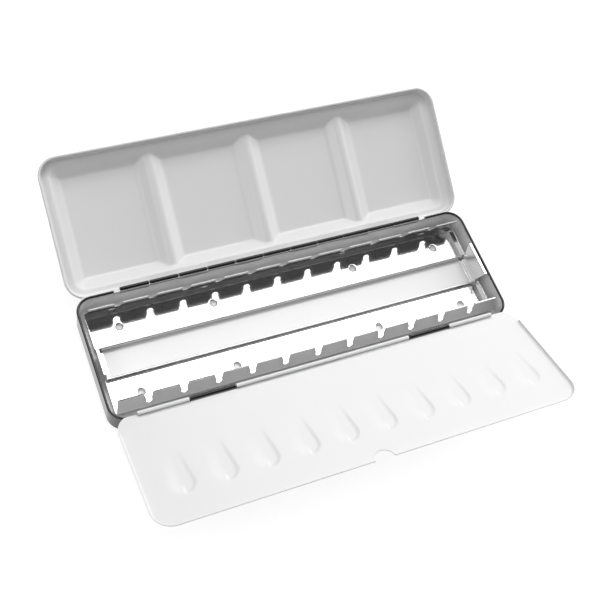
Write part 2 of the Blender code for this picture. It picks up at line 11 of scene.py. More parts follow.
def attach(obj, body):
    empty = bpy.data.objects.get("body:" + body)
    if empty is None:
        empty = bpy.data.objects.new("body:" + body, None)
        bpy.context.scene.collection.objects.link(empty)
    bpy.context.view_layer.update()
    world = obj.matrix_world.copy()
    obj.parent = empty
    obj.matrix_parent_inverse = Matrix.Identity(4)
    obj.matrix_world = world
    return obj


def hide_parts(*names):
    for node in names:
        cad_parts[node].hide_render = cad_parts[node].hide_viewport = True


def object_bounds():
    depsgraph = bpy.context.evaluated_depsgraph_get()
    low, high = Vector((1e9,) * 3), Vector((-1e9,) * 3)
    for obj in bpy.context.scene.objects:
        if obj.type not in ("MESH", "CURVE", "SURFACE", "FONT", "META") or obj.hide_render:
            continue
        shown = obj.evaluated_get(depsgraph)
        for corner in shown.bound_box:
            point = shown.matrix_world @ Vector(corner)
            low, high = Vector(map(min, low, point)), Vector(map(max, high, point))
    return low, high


bl_info = {
    "name": "Metal watercolour box",
    "version": (1, 0, 0),
    "blender": (4, 5, 0),
    "location": "3D View > Sidebar > Watercolour box",
    "description": "Dresses the packed watercolour box in lacquer and tinplate and lights it",
    "category": "Object",
}

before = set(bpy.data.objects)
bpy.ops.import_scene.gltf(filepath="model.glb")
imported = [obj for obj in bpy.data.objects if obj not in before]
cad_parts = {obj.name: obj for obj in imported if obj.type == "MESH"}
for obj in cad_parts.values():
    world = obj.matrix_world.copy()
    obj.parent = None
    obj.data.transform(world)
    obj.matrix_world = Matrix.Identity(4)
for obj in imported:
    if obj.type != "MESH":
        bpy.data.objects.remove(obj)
cad_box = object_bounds()
MM = 0.001


# Sizes that a user would change

def length(name, text, value):
    """A length property, given in millimetres."""
    return FloatProperty(name=name, description=text, default=value * MM, min=0, unit="LENGTH",
                         subtype="DISTANCE", precision=5)


class BoxSizes(bpy.types.PropertyGroup):
    """The box's own sizes, as the packed model has them."""
    sheet: length("Sheet", "Thickness of the pressed sheet", 0.4)
    bead: length("Rim bead", "Radius of the rolled rim", 0.6)
    base_length: length("Base length", "Outside length of the base", 199.8)
    base_depth: length("Base depth", "Outside depth of the base", 62.3)
    base_height: length("Base height", "Height of the base", 12.6)
    base_corner: length("Base corner", "Outside radius of the base's corners", 8)
    base_foot: length("Base foot", "Radius between the base's walls and floor", 1.2)
    knuckle: length("Knuckle", "Outside radius of the rolled knuckles", 0.95)
    knuckle_gap: length("Knuckle gap", "Gap between neighbouring knuckles", 0.55)
    rear_inset: length("Lid hinge inset", "From the base's end to its first rear knuckle", 21.91)
    rear_drop: length("Lid axis drop", "From the rim down to the lid's axis", 1.4)
    front_rise: length("Flap axis rise", "From the rim up to the flap's axis", 1.2)
    front_inner: length("Flap knuckle start", "From the middle to a front knuckle's near end", 43.5)
    front_outer: length("Flap knuckle end", "From the middle to a front knuckle's far end", 65)
    front_inset: length("Flap hinge inset", "From the base's end to the flap's outer barrels", 11.4)
    rear_count: IntProperty(name="Lid knuckles", description="Knuckles along the lid's hinge",
                            default=11, min=3)


class LidSizes(bpy.types.PropertyGroup):
    """The lid's sizes, in its own frame: axis at zero, far edge at +Y, open side at +Z."""
    reach: length("Lid reach", "From the axis to the far bead's outside", 65.1)
    fit: length("Lid fit", "Gap between base and lid at each end", 0.3)
    shelf: length("Shelf depth", "From the rim down to the shelf", 4.4)
    well: length("Well depth", "From the rim down to the wells' floors", 9.0)
    shelf_end: length("Shelf end width", "Width of the shelf at the lid's ends", 4.3)
    shelf_side: length("Shelf side width", "Width of the shelf along the lid", 3.3)
    slope: length("Slope width", "Run of the wells' slopes", 4.8)
    mouth: length("Mouth radius", "Corner radius of the wells' mouth", 4.5)
    fillet: length("Wall foot", "Radius between the lid's walls and shelf", 1.2)
    pitch: length("Ridge pitch", "From one ridge to the next", 49)
    ridge_foot: length("Ridge foot", "Width of a ridge at the wells' floors", 13)
    ridge_crest: length("Ridge crest", "Width of a ridge at its top", 2.6)
    crest: length("Crest depth", "From the rim down to the ridges' tops", 5.7)
    soft: length("Crease softness", "How far the creases are rounded", 0.7)


class FlapSizes(bpy.types.PropertyGroup):
    """The mixing flap's sizes, in its own frame: axis at zero, far edge at -Y."""
    room: length("Flap end room", "From the base's end to the flap's end", 0.7)
    reach: length("Flap reach", "From the axis to the flap's far edge", 61.2)
    corner: length("Flap corner", "Radius of the flap's corners", 7.8)
    flange: length("Flange", "Width and height of the turned-up edge", 1.2)
    flange_start: length("Flange start", "From the axis to the flange's start", 8.5)
    notch: length("Thumb notch", "Radius of the thumb notch", 4.8)
    notch_depth: length("Notch depth", "Depth of the thumb notch", 5.0)
    scoop_pitch: length("Scoop pitch", "From one scoop to the next", 18.4)
    scoop_width: length("Scoop width", "Width of a scoop", 12.6)
    scoop_near: length("Scoop start", "From the axis to the scoops' start", 24.5)
    scoop_far: length("Scoop end", "From the axis to the scoops' deep end", 48)
    scoop_depth: length("Scoop depth", "Depth of a scoop at its deep end", 0.5)
    scoops: IntProperty(name="Scoops", description="Scoops along the flap", default=10, min=1)


class TraySizes(bpy.types.PropertyGroup):
    """The pan tray's sizes."""
    back: length("Set back", "How far the tray sits behind the middle", 1.0)
    right: length("Set right", "How far the tray sits right of the middle", 0.7)
    end_room: length("End room", "From the base's outside to the tray's end walls", 3.5)
    stand: length("Stand", "Height of the trough's underside over the base's floor", 1.2)
    end_height: length("End wall", "Height of the troughs' end walls", 2.0)
    lug_half: length("Lug half width", "Half of an end lug's width at its top", 9.2)
    lug_inset: length("Lug inset", "From the end walls in to an end lug's foot", 1.1)
    lug_top: length("Lug top", "Height of the bend at a lug's top", 12.2)
    lug_lip: length("Lug lip", "Width of the lip bent out at a lug's top", 1.2)
    channel: length("Channel", "Half of the brush channel's width", 7.3)
    hem: length("Hem width", "Width of a folded hem", 1.0)
    hem_height: length("Hem height", "Height of a hem over the trough", 2.1)
    foot: length("Trough foot", "From the middle to the start of the wall's bend", 24.3)
    crease: length("Trough crease", "From the middle to the crease under the tabs", 25.6)
    crease_height: length("Crease height", "Height of the crease over the trough", 3.2)
    tab_top: length("Tab top", "From the middle to the tabs' tops", 22.6)
    tab_lip: length("Tab lip", "Width of the lip bent out at the tabs' tops", 0.75)
    tab_height: length("Tab height", "Height of the tabs' tops over the trough", 11)
    slot_pitch: length("Slot pitch", "From one slot to the next", 16.3)
    slot_top: length("Slot top", "Width of a slot at its open end", 4.1)
    slot_neck: length("Slot neck", "Width of a slot at its neck", 2.3)
    slot_bulb: length("Slot bulb", "Radius of a slot's round foot", 1.4)
    bulb_rise: length("Bulb rise", "From the crease to the bulb's middle", 3.6)
    hole: length("Hole", "Radius of the floor's holes", 1.5)
    dimple: length("Dimple", "Radius of the dimple round a hole", 2.25)
    slots: IntProperty(name="Slots", description="Slots in a row of tabs", default=11, min=1)


class Looks(bpy.types.PropertyGroup):
    """Colours of the finishes, as sRGB hex."""
    black: StringProperty(name="Black enamel", description="Outside of the box", default="#131315")
    white: StringProperty(name="White enamel", description="Inside of the box", default="#EDEDED")
    tin: StringProperty(name="Tinplate", description="The tray", default="#E4E4E4")
    steel: StringProperty(name="Steel wire", description="The hinge wires", default="#B4B4B4")
    paper: StringProperty(name="Paper", description="The studio floor", default="#BCBCBC")


def sizes(group):
    """The values of one group of sizes."""
    return getattr(bpy.context.scene, "box_" + group)


# Materials

def linear(hex_colour):
    """An sRGB hex colour as linear RGBA."""
    channels = [int(hex_colour[i:i + 2], 16) / 255 for i in (1, 3, 5)]
    return [c / 12.92 if c <= 0.04045 else ((c + 0.055) / 1.055) ** 2.4 for c in channels] + [1]


def add_node(tree, kind, settings=None, inputs=None):
    """A node with its settings; each input, by name or number, gets a value or a link."""
    node = tree.nodes.new(kind)
    for key, value in (settings or {}).items():
        setattr(node, key, value)
    for key, value in (inputs or {}).items():
        if isinstance(value, bpy.types.NodeSocket):
            tree.links.new(value, node.inputs[key])
        else:
            node.inputs[key].default_value = value
    return node


def new_material(name):
    """The material of that name; if it is new, also its tree and its shader, to be filled."""
    material = bpy.data.materials.get(name)
    if material:
        return material, None, None
    material = bpy.data.materials.new(name)
    material.use_nodes = True
    tree = material.node_tree
    tree.nodes.clear()
    shader = add_node(tree, "ShaderNodeBsdfPrincipled")
    add_node(tree, "ShaderNodeOutputMaterial", None, {"Surface": shader.outputs[0]})
    return material, tree, shader


def stove_enamel(name, colour, shade, roughness):
    """Stove enamel on tinplate: sprayed and baked, so smooth and glossy, with a faint orange
    peel about 1 mm wide and a slow drift of tone where the coat is thinner."""
    material, tree, shader = new_material(name)
    if tree is None:
        return material
    place = add_node(tree, "ShaderNodeTexCoord").outputs["Object"]
    cloud = add_node(tree, "ShaderNodeTexNoise", None,
                     {"Vector": place, "Scale": 35.0, "Detail": 3.0})
    tone = add_node(tree, "ShaderNodeMix", {"data_type": "RGBA"},
                    {0: cloud.outputs[0], 6: linear(colour), 7: linear(shade)})
    tree.links.new(tone.outputs[2], shader.inputs["Base Color"])
    peel = add_node(tree, "ShaderNodeTexNoise", None,
                    {"Vector": place, "Scale": 1000.0, "Detail": 1.0})
    bump = add_node(tree, "ShaderNodeBump", None,
                    {"Strength": 0.08, "Distance": 0.00002, "Height": peel.outputs[0]})
    tree.links.new(bump.outputs[0], shader.inputs["Normal"])
    shader.inputs["Roughness"].default_value = roughness
    return material


def tinplate(name, colour, roughness):
    """Electrolytic tinplate, bright rolled: a mirror softened by mill lines across the tray,
    which lie about 0.25 mm apart and smear a reflection along them."""
    material, tree, shader = new_material(name)
    if tree is None:
        return material
    place = add_node(tree, "ShaderNodeTexCoord").outputs["Object"]
    stretch = add_node(tree, "ShaderNodeMapping", None, {"Vector": place, "Scale": (4000, 40, 40)})
    lines = add_node(tree, "ShaderNodeTexNoise", None,
                     {"Vector": stretch.outputs[0], "Scale": 1.0, "Detail": 3.0})
    bump = add_node(tree, "ShaderNodeBump", None,
                    {"Strength": 0.12, "Distance": 0.00001, "Height": lines.outputs[0]})
    tree.links.new(bump.outputs[0], shader.inputs["Normal"])
    shader.inputs["Base Color"].default_value = linear(colour)
    shader.inputs["Metallic"].default_value = 1
    shader.inputs["Roughness"].default_value = roughness
    return material


def black_enamel():
    return stove_enamel("black_stove_enamel", sizes("looks").black, "#0F0F10", 0.12)


def white_enamel():
    return stove_enamel("white_stove_enamel", sizes("looks").white, "#EAEAEA", 0.22)


def bright_tin():
    return tinplate("bright_tinplate", sizes("looks").tin, 0.13)


def matt_paper():
    """White paper sweep of the studio. The camera and glossy surfaces see it as an evenly lit
    white, with the shadow of the box; it lights the box as a paler grey."""
    material, tree, shader = new_material("matt_white_paper")
    if tree is None:
        return material
    shader.inputs["Base Color"].default_value = linear(sizes("looks").paper)
    shader.inputs["Roughness"].default_value = 1
    shader.inputs["Specular IOR Level"].default_value = 0
    shader.inputs["Emission Color"].default_value = (1, 1, 1, 1)
    shader.inputs["Emission Strength"].default_value = 0.8
    path = add_node(tree, "ShaderNodeLightPath")
    seen = add_node(tree, "ShaderNodeMath", {"operation": "MAXIMUM"},
                    {0: path.outputs["Is Camera Ray"], 1: path.outputs["Is Glossy Ray"]})
    grey = add_node(tree, "ShaderNodeBsdfDiffuse", None, {"Color": (0.7, 0.7, 0.7, 1)})
    mix = add_node(tree, "ShaderNodeMixShader", None,
                   {0: seen.outputs[0], 1: grey.outputs[0], 2: shader.outputs[0]})
    tree.links.new(mix.outputs[0], tree.nodes["Material Output"].inputs["Surface"])
    return material


def drawn_steel():
    """Drawn steel wire, dulled by the die, with fine marks across it."""
    return tinplate("drawn_steel_wire", sizes("looks").steel, 0.25)


# Mesh helpers

def mesh_object(name, mesh, materials=()):
    for material in materials:
        mesh.materials.append(material)
    thing = bpy.data.objects.new(name, mesh)
    bpy.context.scene.collection.objects.link(thing)
    return thing


def evaluated(thing):
    """The object's mesh with its modifiers applied."""
    bpy.context.view_layer.update()
    graph = bpy.context.evaluated_depsgraph_get()
    return bpy.data.meshes.new_from_object(thing.evaluated_get(graph))


def from_faces(vertices, faces, materials=None):
    mesh = bpy.data.meshes.new("sheet")
    mesh.from_pydata([tuple(v) for v in vertices], [], faces)
    if materials:
        mesh.polygons.foreach_set("material_index", materials)
    mesh.update()
    return mesh


def arc(centre, radius, start, end, steps):
    turn = (end - start) / steps
    return [(centre[0] + radius * cos(start + turn * i), centre[1] + radius * sin(start + turn * i))
            for i in range(steps + 1)]


def circle(x, y, radius, z, steps=40):
    return [(x + radius * cos(2 * pi * i / steps), y + radius * sin(2 * pi * i / steps), z)
            for i in range(steps)]


def rounded_ring(half, low, high, radius, z, steps=16):
    """A rectangle with round corners, counterclockwise seen from above."""
    corners = (((half - radius, low + radius), -pi / 2), ((half - radius, high - radius), 0),
               ((radius - half, high - radius), pi / 2), ((radius - half, low + radius), pi))
    return [(x, y, z) for centre, start in corners
            for x, y in arc(centre, radius, start, start + pi / 2, steps)]


def loft(rings, indices):
    """A closed skin over rings; indices gives the material of bottom, walls and top."""
    vertices = [p for ring in rings for p in ring]
    n = len(rings[0])
    faces = [tuple(reversed(range(n)))]
    for k in range(len(rings) - 1):
        faces += [(k * n + i, k * n + (i + 1) % n, (k + 1) * n + (i + 1) % n, (k + 1) * n + i)
                  for i in range(n)]
    faces.append(tuple(range((len(rings) - 1) * n, len(rings) * n)))
    slots = [indices[0]] + [i for i in indices[1:-1] for _ in range(n)] + [indices[-1]]
    return from_faces(vertices, faces, slots)


def rounded_line(points, radii, steps=8):
    """A polyline whose inner corners are rounded by radii."""
    line = [Vector(points[0])]
    for before, corner, after, radius in zip(points, points[1:], points[2:], radii):
        before, corner, after = Vector(before), Vector(corner), Vector(after)
        into, out = (before - corner).normalized(), (after - corner).normalized()
        angle = into.angle(out)
        if radius == 0 or abs(angle - pi) < 0.01:
            line.append(corner)
            continue
        reach = radius / tan(angle / 2)
        centre = corner + (into + out).normalized() * (radius / sin(angle / 2))
        start = corner + into * reach - centre
        turn = start.angle_signed(corner + out * reach - centre)
        for i in range(steps + 1):
            line.append(centre + Matrix.Rotation(-turn * i / steps, 2) @ start)
    line.append(Vector(points[-1]))
    return line


def sheet_outline(line, thickness):
    """The outline of a bent sheet whose middle follows line."""
    points = [Vector(p) for p in line]
    left, right = [], []
    for i, point in enumerate(points):
        before = (point - points[i - 1]).normalized() if i else None
        after = (points[i + 1] - point).normalized() if i + 1 < len(points) else None
        before = before or after
        after = after or before
        along = (before + after).normalized()
        side = Vector((-along.y, along.x)) * (thickness / 2 / along.dot(after))
        left.append(point + side)
        right.append(point - side)
    return [tuple(p) for p in left + right[::-1]]


def prism(outline, low, high):
    """An outline in Y and Z, pulled along X; faces point outwards."""
    n = len(outline)
    area = sum(a[0] * b[1] - b[0] * a[1] for a, b in zip(outline, outline[1:] + outline[:1]))
    if area < 0:
        outline = outline[::-1]
    vertices = [(low, u, v) for u, v in outline] + [(high, u, v) for u, v in outline]
    faces = [tuple(reversed(range(n))), tuple(range(n, 2 * n))]
    faces += [(i, (i + 1) % n, n + (i + 1) % n, n + i) for i in range(n)]
    return from_faces(vertices, faces)


def gather(meshes):
    """Several meshes as one, with all faces turned outwards."""
    joined = bpy.data.meshes.new("gathered")
    bm = bmesh.new()
    for mesh in meshes:
        bm.from_mesh(mesh)
    bmesh.ops.recalc_face_normals(bm, faces=bm.faces)
    bm.to_mesh(joined)
    bm.free()
    return joined


def moved(mesh, matrix):
    copy = mesh.copy()
    copy.transform(matrix)
    return copy


def box_mesh(low, high):
    outline = [(low[1], low[2]), (high[1], low[2]), (high[1], high[2]), (low[1], high[2])]
    return prism(outline, low[0], high[0])


def cut(thing, mesh):
    """Cut a mesh out of an object at once."""
    tool = mesh_object("tool", mesh)
    step = thing.modifiers.new("cut", "BOOLEAN")
    step.operation = "DIFFERENCE"
    step.object = tool
    step.solver = "EXACT"
    result = evaluated(thing)
    thing.modifiers.clear()
    thing.data = result
    bpy.data.objects.remove(tool)


def smooth(thing, angle=35):
    """Smooth shading in which the large flat faces keep their own direction."""
    thing.data.shade_smooth()
    thing.data.set_sharp_from_angle(angle=radians(angle))
    step = thing.modifiers.new("normals", "WEIGHTED_NORMAL")
    step.keep_sharp = True
    step.weight = 100
    thing.data = evaluated(thing)
    thing.modifiers.clear()


def bevel(thing, width):
    """Round the sharp edges of an object."""
    step = thing.modifiers.new("edges", "BEVEL")
    step.width = width
    step.segments = 2
    step.limit_method = "ANGLE"
    step.angle_limit = radians(40)
    thing.data = evaluated(thing)
    thing.modifiers.clear()


def settle(thing, body, node=None):
    """Give a finished piece its body, its slot and the CAD node that it stands for."""
    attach(thing, body)
    if node:
        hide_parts(node)


# Repeating

def row_tree(name, material):
    """Geometry Nodes: copies of the object's own mesh along a line, made real."""
    tree = bpy.data.node_groups.new(name, "GeometryNodeTree")
    face = tree.interface
    face.new_socket("Geometry", in_out="INPUT", socket_type="NodeSocketGeometry")
    face.new_socket("Count", in_out="INPUT", socket_type="NodeSocketInt")
    face.new_socket("Start", in_out="INPUT", socket_type="NodeSocketVector")
    face.new_socket("Step", in_out="INPUT", socket_type="NodeSocketVector")
    face.new_socket("Geometry", in_out="OUTPUT", socket_type="NodeSocketGeometry")
    given = add_node(tree, "NodeGroupInput").outputs
    line = add_node(tree, "GeometryNodeMeshLine", {"mode": "OFFSET"},
                    {"Count": given["Count"], "Start Location": given["Start"],
                     "Offset": given["Step"]})
    copies = add_node(tree, "GeometryNodeInstanceOnPoints", None,
                      {"Points": line.outputs[0], "Instance": given["Geometry"]})
    real = add_node(tree, "GeometryNodeRealizeInstances", None, {"Geometry": copies.outputs[0]})
    finish = add_node(tree, "GeometryNodeSetMaterial", None,
                      {"Geometry": real.outputs[0], "Material": material})
    add_node(tree, "NodeGroupOutput", None, {0: finish.outputs[0]})
    return tree


def in_a_row(mesh, name, material, count, start, step):
    """One mesh repeated along a line, as a plain mesh."""
    seed = mesh_object(name + "_seed", mesh)
    rows = seed.modifiers.new(name, "NODES")
    rows.node_group = row_tree(name, material)
    inputs = [s for s in rows.node_group.interface.items_tree if s.in_out == "INPUT"]
    sockets = {s.name: s.identifier for s in inputs}
    rows[sockets["Count"]] = count
    rows[sockets["Start"]] = start
    rows[sockets["Step"]] = step
    result = evaluated(seed)
    bpy.data.objects.remove(seed)
    return result


# Shared places

def rear_axis():
    """A point on the lid's axis, above the middle of the base."""
    s = sizes("base")
    return Vector((0, s.base_depth / 2 - s.sheet + s.knuckle, s.base_height - s.rear_drop))


def front_axis():
    """A point on the flap's axis, above the middle of the base."""
    s = sizes("base")
    return Vector((0, s.knuckle - s.base_depth / 2, s.base_height + s.front_rise))


# How far the open lid and the open flap are turned from level

LID_TURN = Matrix.Rotation(radians(27.5), 4, "X")
FLAP_TURN = Matrix.Rotation(radians(-20.5), 4, "X")


def curl(leaf):
    """Outline of a sheet that runs up its leaf and then round the wire, clockwise."""
    s = sizes("base")
    line = leaf + arc((0, 0), s.knuckle - s.sheet / 2, pi, radians(-100), 28)
    return sheet_outline(line, s.sheet)


def painted(mesh, test):
    """Gives the faces whose middle passes the test the second material."""
    for face in mesh.polygons:
        face.material_index = 1 if test(face.center) else 0


def straight_leaf(drop):
    """The start of a leaf that runs straight up to its knuckle."""
    s = sizes("base")
    return [(s.sheet / 2 - s.knuckle, -s.knuckle - drop)]


# Base

def make_base():
    s = sizes("base")
    foot = (s.base_foot, s.base_foot)
    bead = (s.bead - 0.05 * MM, s.base_height - s.bead)
    leave = 2 * pi - acos(-bead[0] / s.bead)
    meet = -acos((s.sheet - bead[0]) / s.bead)
    outside = arc(foot, s.base_foot, pi * 1.5, pi, 8)
    over = arc(bead, s.bead, leave, meet, 20)
    inside = arc(foot, s.base_foot - s.sheet, pi, pi * 1.5, 8)
    profile = outside + over + inside
    rings = []
    for inset, z in profile:
        half = s.base_depth / 2 - inset
        rings.append(rounded_ring(s.base_length / 2 - inset, -half, half,
                                  s.base_corner - inset, z, 20))
    white_from = len(outside) + len(over) - 1
    indices = [0] + [1 if k >= white_from else 0 for k in range(len(rings) - 1)] + [1]
    base = mesh_object("base_box", loft(rings, indices), (black_enamel(), white_enamel()))
    axis = rear_axis()
    half = s.base_length / 2 - s.rear_inset + 3 * MM
    room = s.knuckle + 0.3 * MM
    cut(base, box_mesh((-half, axis.y - room - 1.2 * MM, axis.z - room),
                       (half, axis.y + 2 * MM, s.base_height + 2 * MM)))
    smooth(base)
    settle(base, "base", "base_shell")


# Hinges

def make_hinges():
    s = sizes("base")
    black, white = black_enamel(), white_enamel()
    half = s.base_length / 2 - s.rear_inset
    pitch = 2 * half / s.rear_count
    rear, front = rear_axis(), front_axis()
    length = pitch - s.knuckle_gap
    count = (s.rear_count + 1) // 2
    seed = prism(curl(straight_leaf(1.2 * MM)), -length / 2, length / 2)
    mesh = in_a_row(seed, "base_knuckles", black, count,
                    (pitch / 2 - half, rear.y, rear.z), (2 * pitch, 0, 0))
    inside = rear.y - s.knuckle + s.sheet / 2
    painted(mesh, lambda p: p.y < inside - 0.1 * MM and p.z < rear.z - 0.05 * MM)
    spans = ((-s.front_outer, -s.front_inner), (s.front_inner, s.front_outer))
    gap = s.knuckle_gap / 2
    leaf = straight_leaf(1.6 * MM)
    pieces = [mesh] + [moved(prism(curl(leaf), low + gap, high - gap), Matrix.Translation(front))
                       for low, high in spans]
    base = mesh_object("base_hinge_knuckles", gather(pieces), [black, white])
    smooth(base)
    settle(base, "base")
    jog = [(0, -2.8 * MM), (0, -1.6 * MM)]
    seed = moved(prism(curl(jog), -length / 2, length / 2), LID_TURN)
    mesh = in_a_row(seed, "lid_knuckles", black, count - 1,
                    (pitch * 1.5 - half, rear.y, rear.z), (2 * pitch, 0, 0))
    lid = mesh_object("lid_hinge_knuckles", gather([mesh]), [black])
    smooth(lid)
    settle(lid, "lid")
    outline = [(v, u) for u, v in curl(straight_leaf(1.2 * MM))]
    end = s.base_length / 2 - s.front_inset
    inner, outer = s.front_inner - gap, s.front_outer + gap
    spans = ((-end, -outer), (-inner, inner), (outer, end))
    place = Matrix.Translation(front) @ FLAP_TURN
    barrels = [moved(prism(outline, low, high), place) for low, high in spans]
    flap = mesh_object("flap_hinge_barrels", gather(barrels), [white])
    smooth(flap)
    settle(flap, "flap")


def make_wires():
    for name in ("lid_hinge_wire", "flap_hinge_wire"):
        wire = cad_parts[name]
        wire.data.materials.clear()
        wire.data.materials.append(drawn_steel())


# Pressed sheets on a grid

def soft_max(a, b, k):
    """The larger of two heights, with their crossing rounded over k."""
    h = max(k - abs(a - b), 0) / k
    return max(a, b) + h * h * k / 4


def soft_min(a, b, k):
    return -soft_max(-a, -b, k)


def spread(*stops):
    """Positions from stop to stop; each stop is a place and the step that leads to the next."""
    places = []
    for (start, step), (end, _) in zip(stops, stops[1:]):
        n = max(1, round((end - start) / step))
        places += [start + (end - start) * i / n for i in range(n)]
    return places + [stops[-1][0]]


def pressed_sheet(half, low, high, radius, columns, rows, height, rings, keep=85 * MM, steps=16):
    """A sheet with round corners as a grid, with rings that carry on from its edge.
    columns are X places on the straight rows, rows the Y places between the corners, height gives
    z at a point, and each ring is an outset and a height from there on."""
    levels = [(low + radius - radius * cos(t), radius * sin(t))
              for t in (pi / 2 * i / steps for i in range(steps))]
    levels += [(y, radius) for y in rows]
    levels += [(high - radius + radius * cos(t), radius * sin(t))
               for t in (pi / 2 * (steps - i) / steps for i in range(1, steps + 1))]
    vertices = []
    n = len(columns)
    for y, bulge in levels:
        edge = half - radius + bulge
        for x in columns:
            if abs(x) > keep:
                x = (keep + (abs(x) - keep) * (edge - keep) / (half - keep)) * (1 if x > 0 else -1)
            vertices.append((x, y, height(x, y)))
    last = len(levels) - 1
    border = [(0, c) for c in range(n)] + [(r, n - 1) for r in range(1, last + 1)]
    border += [(last, c) for c in range(n - 2, -1, -1)] + [(r, 0) for r in range(last - 1, 0, -1)]
    outward = []
    for r, c in border:
        y, bulge = levels[r]
        if c in (0, n - 1):
            side = 1 if c else -1
            up = sqrt(max(0, radius * radius - bulge * bulge)) / radius
            outward.append((side * bulge / radius, -up if y < (low + high) / 2 else up))
        else:
            outward.append((0, -1 if r == 0 else 1))
    faces = [(r * n + c, r * n + c + 1, (r + 1) * n + c + 1, (r + 1) * n + c)
             for r in range(last) for c in range(n - 1)]
    previous = [r * n + c for r, c in border]
    origin = [vertices[i] for i in previous]
    m = len(border)
    for out, z in rings:
        first = len(vertices)
        vertices += [(p[0] + d[0] * out, p[1] + d[1] * out, p[2] + z)
                     for p, d in zip(origin, outward)]
        current = list(range(first, first + m))
        faces += [(previous[i], current[i], current[(i + 1) % m], previous[(i + 1) % m])
                  for i in range(m)]
        previous = current
    return from_faces(vertices, faces)


def solid_sheet(thing, thickness, offset, outer_slot):
    """Give a skin the thickness of its sheet."""
    step = thing.modifiers.new("sheet", "SOLIDIFY")
    step.thickness = thickness
    step.offset = offset
    step.use_even_offset = True
    step.material_offset = outer_slot
    step.material_offset_rim = 0
    thing.data = evaluated(thing)
    thing.modifiers.clear()


# Lid

def make_lid():
    s, d = sizes("base"), sizes("lid")
    half = s.base_length / 2 + d.fit
    near, far = s.sheet / 2, d.reach - 2 * s.bead
    f = d.fillet
    mouth = (half - d.shelf_end, near + d.shelf_side, far - d.shelf_side)
    rise, slope = d.well - d.shelf, (d.well - d.shelf) / d.slope
    run = (d.ridge_foot - d.ridge_crest) / 2
    ridge_slope = (d.well - d.crest) / run
    k = d.soft

    def height(x, y):
        qx = abs(x) - (mouth[0] - d.mouth)
        qy = abs(y - (mouth[1] + mouth[2]) / 2) - ((mouth[2] - mouth[1]) / 2 - d.mouth)
        outside = sqrt(max(qx, 0) ** 2 + max(qy, 0) ** 2) + min(max(qx, qy), 0) - d.mouth
        well = soft_min(soft_max(-outside * slope, 0, k), rise, k)
        nearest = min(abs(x - i * d.pitch) for i in (-1, 0, 1))
        ridge = soft_max((nearest - d.ridge_crest / 2) * ridge_slope, 0, k) + d.crest - d.shelf
        return -d.shelf - soft_min(well, ridge, k)

    fine = 0.55 * MM
    columns = [0]
    side = spread((0, fine), (8 * MM, 5 * MM), (41 * MM, fine), (57 * MM, 5 * MM),
                  (85.5 * MM, fine), (half - f, fine))
    columns = [-x for x in side[:0:-1]] + side
    radius = s.base_corner + d.fit - f
    rows = spread((near + f + radius, fine), (near + 12 * MM, 4 * MM), (far - 12 * MM, fine),
                  (far - f - radius, fine))
    rings = [(f * sin(a), f * (1 - cos(a))) for a in (pi / 2 * i / 6 for i in range(1, 7))]
    top = d.shelf - s.bead
    rings += [(f, top)]
    rings += [(f + s.bead - s.bead * cos(a), top + s.bead * sin(a))
              for a in (radians(255) * i / 16 for i in range(1, 17))]
    mesh = pressed_sheet(half - f, near + f, far - f, radius, columns, rows, height, rings,
                         steps=18)
    lid = mesh_object("lid_pan", mesh, (white_enamel(), black_enamel()))
    solid_sheet(lid, s.sheet, -1, 1)
    long = half + 3 * MM
    cut(lid, box_mesh((-long, -3 * MM, -3.2 * MM), (long, -s.sheet / 2, 3 * MM)))
    slot = s.base_length / 2 - s.rear_inset + 0.3 * MM
    room = s.knuckle + 0.3 * MM
    cut(lid, box_mesh((-slot, -3 * MM, -room), (slot, 2 * MM, 3 * MM)))
    lid.data.transform(Matrix.Translation(rear_axis()) @ LID_TURN)
    smooth(lid)
    settle(lid, "lid", "lid_shell")


# Mixing flap

